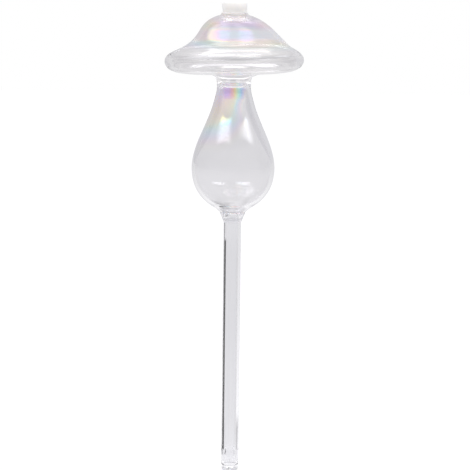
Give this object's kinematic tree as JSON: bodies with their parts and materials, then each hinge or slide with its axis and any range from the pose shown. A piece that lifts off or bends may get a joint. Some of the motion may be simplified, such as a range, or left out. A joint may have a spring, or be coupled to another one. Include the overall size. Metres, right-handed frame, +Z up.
{
  "type": "watering globe",
  "caption": "Mushroom-shaped blown glass watering globe with a teardrop bulb, a long hollow stem, a drip tip and a lift-out filling stopper.",
  "frame": {"origin": "bottom centre of the drip tip, at the lower end of the stem", "axes": "+Z up along the stem, from the drip tip to the stopper; every piece is round about Z"},
  "size_m": [0.0872, 0.0872, 0.3042],
  "materials": {
    "clear_glass": "clear, fire polished",
    "pearly_glass": "clear with a thin iridescent lustre",
    "clear_tip": "clear, smooth",
    "silicone": "milky, satin"
  },
  "bodies": {
    "globe": {"drip_tip": "clear_tip", "stem_tube": "clear_glass", "stem_collar": "clear_glass", "teardrop_bulb": "pearly_glass", "neck_seal_ring": "clear_glass", "mushroom_cap": "pearly_glass"},
    "stopper": {"stopper": "silicone"}
  },
  "joints": [
    {"name": "stopper_pull", "type": "slide", "parent": "globe", "child": "stopper", "axis": [0, 0, 1], "range_m": [0, 0.03]}
  ]
}
